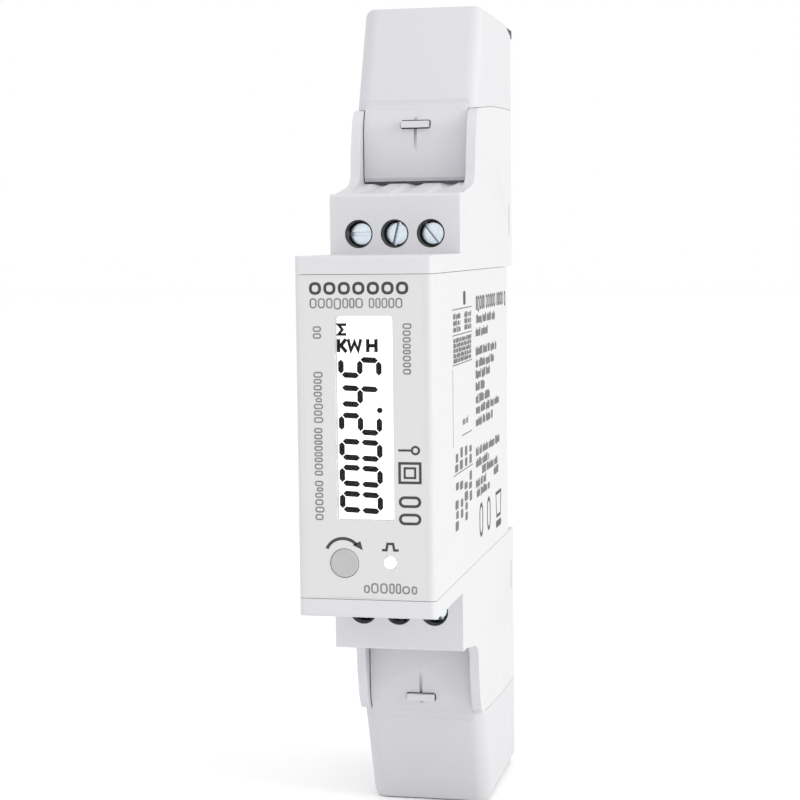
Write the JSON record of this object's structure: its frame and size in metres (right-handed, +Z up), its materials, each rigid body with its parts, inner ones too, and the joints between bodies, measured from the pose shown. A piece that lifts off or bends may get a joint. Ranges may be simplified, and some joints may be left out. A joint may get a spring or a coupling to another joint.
{
  "type": "smart electric meter",
  "caption": "Slim single-phase energy meter for a 35 mm rail, with a display, a key, screw terminals under sealable covers and a sprung rail clip.",
  "frame": {"origin": "middle of the flat face at the back that rests on the rail", "axes": "+X to the right seen from the front, +Y from the front towards the rail, +Z up"},
  "size_m": [0.0176, 0.0651, 0.114],
  "materials": {
    "shell_grey": "fine spark-eroded texture, satin",
    "cover_grey": "fine texture, slightly darker than the shell",
    "label_film": "printed matt film",
    "clear_lens": "clear polished polycarbonate",
    "lcd_glass": "pale grey-white liquid crystal cell",
    "white_plastic": "white",
    "key_grey": "soft grey",
    "black_plastic": "black glass-filled nylon",
    "rubber": "striped conductive rubber",
    "circuit_board": "green solder mask",
    "capacitor_yellow": "moulded yellow box",
    "ferrite": "dark ferrite",
    "varistor_blue": "blue epoxy coating",
    "copper": "plain copper alloy strip",
    "steel": "plated pressed steel",
    "zinc": "bright zinc plated"
  },
  "bodies": {
    "housing": {"base_housing": "shell_grey", "front_cover": "shell_grey", "front_label": "label_film", "lcd_window": "clear_lens", "lcd_holder": "white_plastic", "lcd_glass": "lcd_glass", "backlight_diffuser": "white_plastic", "contact_strip_left": "rubber", "contact_strip_right": "rubber", "display_board": "circuit_board", "main_board": "circuit_board", "tact_switch": "steel", "light_pipe": "clear_lens", "pulse_led": "white_plastic", "board_header": "black_plastic", "supply_capacitor": "capacitor_yellow", "electrolytic_capacitor": "black_plastic", "drum_inductor": "ferrite", "varistor": "varistor_blue", "metering_chip": "black_plastic", "optocoupler": "black_plastic", "crystal": "steel", "shunt": "copper", "clip_spring": "steel", "contact_bar_upper_left": "copper", "contact_bar_upper_middle": "copper", "contact_bar_upper_right": "copper", "contact_bar_lower_left": "copper", "contact_bar_lower_middle": "copper", "contact_bar_lower_right": "copper"},
    "upper_cover": {"upper_terminal_cover": "cover_grey"},
    "lower_cover": {"lower_terminal_cover": "cover_grey"},
    "key": {"push_button": "key_grey"},
    "plunger": {"switch_plunger": "black_plastic"},
    "clip": {"rail_clip": "black_plastic"},
    "screw_upper_left": {"terminal_screw_upper_left": "zinc"},
    "cage_upper_left": {"clamp_cage_upper_left": "steel"},
    "screw_upper_middle": {"terminal_screw_upper_middle": "zinc"},
    "cage_upper_middle": {"clamp_cage_upper_middle": "steel"},
    "screw_upper_right": {"terminal_screw_upper_right": "zinc"},
    "cage_upper_right": {"clamp_cage_upper_right": "steel"},
    "screw_lower_left": {"terminal_screw_lower_left": "zinc"},
    "cage_lower_left": {"clamp_cage_lower_left": "steel"},
    "screw_lower_middle": {"terminal_screw_lower_middle": "zinc"},
    "cage_lower_middle": {"clamp_cage_lower_middle": "steel"},
    "screw_lower_right": {"terminal_screw_lower_right": "zinc"},
    "cage_lower_right": {"clamp_cage_lower_right": "steel"}
  },
  "joints": [
    {"name": "upper_cover_pull", "type": "slide", "parent": "housing", "child": "upper_cover", "axis": [0, -1, 0], "range_m": [0, 0.04]},
    {"name": "lower_cover_pull", "type": "slide", "parent": "housing", "child": "lower_cover", "axis": [0, -1, 0], "range_m": [0, 0.04]},
    {"name": "key_press", "type": "slide", "parent": "housing", "child": "key", "axis": [0, 1, 0], "range_m": [0, 0.0004], "stiffness_N_per_m": 2500, "springref_m": -0.0002},
    {"name": "plunger_press", "type": "slide", "parent": "housing", "child": "plunger", "axis": [0, 1, 0], "range_m": [0, 0.0004]},
    {"name": "clip_slide", "type": "slide", "parent": "housing", "child": "clip", "axis": [0, 0, 1], "range_m": [0, 0.003], "stiffness_N_per_m": 3000, "springref_m": -0.0015, "deforming": ["clip_spring"]},
    {"name": "screw_upper_left_turn", "type": "hinge", "parent": "housing", "child": "screw_upper_left", "pos_m": [-0.00485, -0.03, 0.0252], "axis": [0, 1, 0], "range_deg": [0, 2160]},
    {"name": "cage_upper_left_lift", "type": "slide", "parent": "housing", "child": "cage_upper_left", "axis": [0, -1, 0], "range_m": [0, 0.0036]},
    {"name": "screw_upper_middle_turn", "type": "hinge", "parent": "housing", "child": "screw_upper_middle", "pos_m": [0, -0.03, 0.0252], "axis": [0, 1, 0], "range_deg": [0, 2160]},
    {"name": "cage_upper_middle_lift", "type": "slide", "parent": "housing", "child": "cage_upper_middle", "axis": [0, -1, 0], "range_m": [0, 0.0036]},
    {"name": "screw_upper_right_turn", "type": "hinge", "parent": "housing", "child": "screw_upper_right", "pos_m": [0.00485, -0.03, 0.0252], "axis": [0, 1, 0], "range_deg": [0, 2160]},
    {"name": "cage_upper_right_lift", "type": "slide", "parent": "housing", "child": "cage_upper_right", "axis": [0, -1, 0], "range_m": [0, 0.0036]},
    {"name": "screw_lower_left_turn", "type": "hinge", "parent": "housing", "child": "screw_lower_left", "pos_m": [-0.00485, -0.03, -0.0252], "axis": [0, 1, 0], "range_deg": [0, 2160]},
    {"name": "cage_lower_left_lift", "type": "slide", "parent": "housing", "child": "cage_lower_left", "axis": [0, -1, 0], "range_m": [0, 0.0036]},
    {"name": "screw_lower_middle_turn", "type": "hinge", "parent": "housing", "child": "screw_lower_middle", "pos_m": [0, -0.03, -0.0252], "axis": [0, 1, 0], "range_deg": [0, 2160]},
    {"name": "cage_lower_middle_lift", "type": "slide", "parent": "housing", "child": "cage_lower_middle", "axis": [0, -1, 0], "range_m": [0, 0.0036]},
    {"name": "screw_lower_right_turn", "type": "hinge", "parent": "housing", "child": "screw_lower_right", "pos_m": [0.00485, -0.03, -0.0252], "axis": [0, 1, 0], "range_deg": [0, 2160]},
    {"name": "cage_lower_right_lift", "type": "slide", "parent": "housing", "child": "cage_lower_right", "axis": [0, -1, 0], "range_m": [0, 0.0036]}
  ],
  "couplings": [
    {"joint": "plunger_press", "follows": "key_press", "ratio": 1},
    {"joint": "screw_upper_left_turn", "follows": "cage_upper_left_lift", "rad_per_m": 10472},
    {"joint": "screw_upper_middle_turn", "follows": "cage_upper_middle_lift", "rad_per_m": 10472},
    {"joint": "screw_upper_right_turn", "follows": "cage_upper_right_lift", "rad_per_m": 10472},
    {"joint": "screw_lower_left_turn", "follows": "cage_lower_left_lift", "rad_per_m": 10472},
    {"joint": "screw_lower_middle_turn", "follows": "cage_lower_middle_lift", "rad_per_m": 10472},
    {"joint": "screw_lower_right_turn", "follows": "cage_lower_right_lift", "rad_per_m": 10472}
  ]
}
